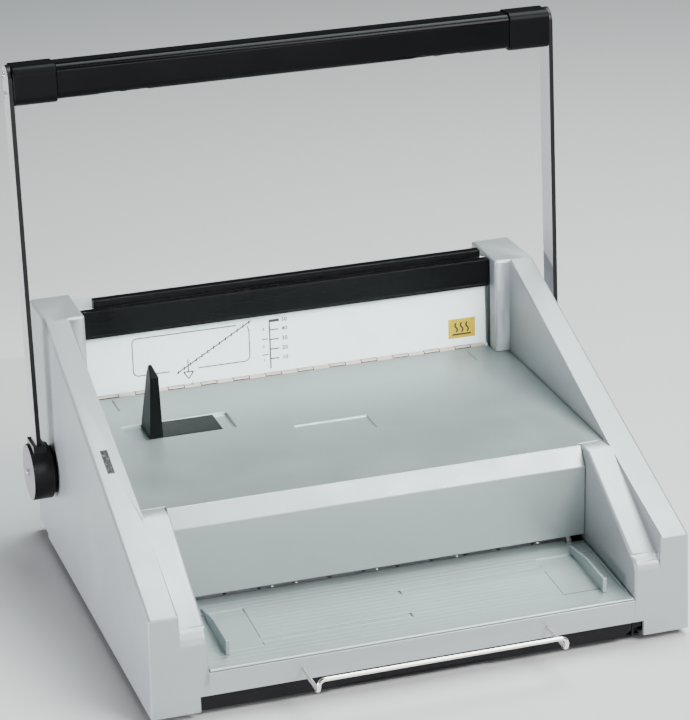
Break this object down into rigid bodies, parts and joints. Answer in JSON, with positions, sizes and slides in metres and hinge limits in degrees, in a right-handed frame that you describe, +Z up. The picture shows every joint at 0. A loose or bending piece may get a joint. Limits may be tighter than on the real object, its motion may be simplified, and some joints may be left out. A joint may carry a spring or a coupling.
{
  "type": "strip binding machine",
  "caption": "Desktop punch and strip binding machine with a swing handle, sloping side covers, a punch tray at the front and a binding table with a pressure bar behind it",
  "frame": {"origin": "bottom centre of the bounding box, on the plane of the rubber feet", "axes": "+X to the right across the machine, +Y to the rear, +Z up"},
  "size_m": [0.4768, 0.4286, 0.426],
  "materials": {
    "cover_grey": "fine satin moulded texture",
    "deck_grey": "fine satin moulded texture",
    "guide_grey": "satin",
    "rear_grey": "satin",
    "base_dark": "fine texture",
    "black_plastic": "satin",
    "black_bar": "satin powder coat",
    "grip_black": "satin gloss",
    "arm_silver": "satin silver paint",
    "white_panel": "smooth printed sheet",
    "cream_plastic": "satin",
    "window_dark": "smoked, speckled",
    "steel": "brushed",
    "shaft_steel": "ground",
    "gear_steel": "zinc and yellow passivated",
    "wire_chrome": "bright nickel plate",
    "screw_steel": "bright",
    "rubber": "matt",
    "nylon": "natural",
    "circuit_board": "solder resist",
    "transformer_core": "varnished",
    "motor_case": "zinc"
  },
  "bodies": {
    "housing": {"base_pan": "base_dark", "rubber_feet": "rubber", "left_side_cover": "cover_grey", "right_side_cover": "cover_grey", "front_rail": "cover_grey", "rear_cover": "rear_grey", "top_deck": "deck_grey", "punch_tray": "deck_grey", "scale_panel": "white_panel", "strip_locator_bar": "cream_plastic", "top_cap_strip": "black_bar", "status_window": "window_dark", "left_frame_plate": "steel", "right_frame_plate": "steel", "die_block": "steel", "punch_guide_rods": "shaft_steel", "shaft_bushings": "black_plastic", "blade_motor": "motor_case", "transformer": "transformer_core", "control_board": "circuit_board", "power_inlet": "black_plastic", "cover_screws": "screw_steel"},
    "handle": {"drive_shaft": "shaft_steel", "left_hub": "black_plastic", "right_hub": "black_plastic", "hub_screws": "screw_steel", "left_arm": "arm_silver", "right_arm": "arm_silver", "grip_tube": "grip_black", "left_grip_cap": "black_plastic", "right_grip_cap": "black_plastic", "grip_screws": "screw_steel", "left_sector_gear": "gear_steel", "right_sector_gear": "gear_steel"},
    "press": {"pressure_bar": "black_bar", "left_rack_plate": "steel", "right_rack_plate": "steel", "rack_screws": "screw_steel"},
    "links": {"left_link": "steel", "right_link": "steel"},
    "punch_drive": {"punch_shaft": "shaft_steel", "punch_pinions": "gear_steel", "left_punch_crank": "gear_steel", "right_punch_crank": "gear_steel"},
    "punch_ram": {"punch_bar": "steel", "punch_pins": "shaft_steel"},
    "left_guide": {"left_paper_guide": "guide_grey"},
    "right_guide": {"right_paper_guide": "guide_grey"},
    "guide_gear": {"guide_pinion": "nylon"},
    "edge_stop": {"edge_guide": "black_plastic"},
    "wire": {"wire_support": "wire_chrome"},
    "drawer": {"chip_drawer": "base_dark"},
    "cutter": {"heated_blade": "shaft_steel", "blade_carriage": "steel"},
    "cutter_gear": {"blade_pinion": "gear_steel"},
    "rocker": {"power_switch": "black_plastic"},
    "strip_pin": {"locating_pin": "shaft_steel"}
  },
  "joints": [
    {"name": "handle_swing", "type": "hinge", "parent": "housing", "child": "handle", "pos_m": [0, 0.14413, 0.083], "axis": [1, 0, 0], "range_deg": [0, 80]},
    {"name": "pressure_bar_slide", "type": "slide", "parent": "housing", "child": "press", "axis": [0, 0, -1], "range_m": [0, 0.0535]},
    {"name": "link_turn", "type": "hinge", "parent": "handle", "child": "links", "pos_m": [0, 0.15827, 0.09985], "axis": [1, 0, 0], "range_deg": [-80.5, 0.5]},
    {"name": "punch_shaft_turn", "type": "hinge", "parent": "housing", "child": "punch_drive", "pos_m": [0, -0.03887, 0.096], "axis": [1, 0, 0], "range_deg": [0, 80.5]},
    {"name": "punch_slide", "type": "slide", "parent": "housing", "child": "punch_ram", "axis": [0, 0, -1], "range_m": [0, 0.0127]},
    {"name": "left_guide_slide", "type": "slide", "parent": "housing", "child": "left_guide", "axis": [-1, 0, 0], "range_m": [0, 0.01]},
    {"name": "right_guide_slide", "type": "slide", "parent": "housing", "child": "right_guide", "axis": [1, 0, 0], "range_m": [0, 0.0102]},
    {"name": "guide_pinion_turn", "type": "hinge", "parent": "housing", "child": "guide_gear", "pos_m": [0, -0.12247, 0.03883], "axis": [0, -0.061, 0.9981], "range_deg": [-39, 39]},
    {"name": "edge_guide_slide", "type": "slide", "parent": "housing", "child": "edge_stop", "axis": [1, 0, 0], "range_m": [-0.015, 0.01]},
    {"name": "wire_support_slide", "type": "slide", "parent": "housing", "child": "wire", "axis": [0, -1, 0], "range_m": [-0.034, 0.045]},
    {"name": "chip_drawer_slide", "type": "slide", "parent": "housing", "child": "drawer", "axis": [0, -1, 0], "range_m": [0, 0.12]},
    {"name": "cutter_slide", "type": "slide", "parent": "housing", "child": "cutter", "axis": [0, -1, 0], "range_m": [0, 0.009]},
    {"name": "cutter_pinion_turn", "type": "hinge", "parent": "housing", "child": "cutter_gear", "pos_m": [0.044, 0.19412, 0.092], "axis": [1, 0, 0], "range_deg": [0, 65]},
    {"name": "power_switch_rock", "type": "hinge", "parent": "housing", "child": "rocker", "pos_m": [0.103, 0.20713, 0.049], "axis": [1, 0, 0], "range_deg": [-14, 0]},
    {"name": "locating_pin_press", "type": "slide", "parent": "housing", "child": "strip_pin", "axis": [0, 0, -1], "range_m": [0, 0.0015], "stiffness_N_per_m": 150}
  ],
  "couplings": [
    {"joint": "pressure_bar_slide", "follows": "handle_swing", "m_per_rad": 0.038},
    {"joint": "link_turn", "follows": "handle_swing", "ratio": -1},
    {"joint": "punch_shaft_turn", "follows": "handle_swing", "ratio": 1},
    {"joint": "punch_slide", "follows": "handle_swing", "m_per_rad": 0.009},
    {"joint": "right_guide_slide", "follows": "left_guide_slide", "ratio": 1},
    {"joint": "guide_pinion_turn", "follows": "left_guide_slide", "rad_per_m": -66.667},
    {"joint": "cutter_pinion_turn", "follows": "cutter_slide", "rad_per_m": 125}
  ]
}
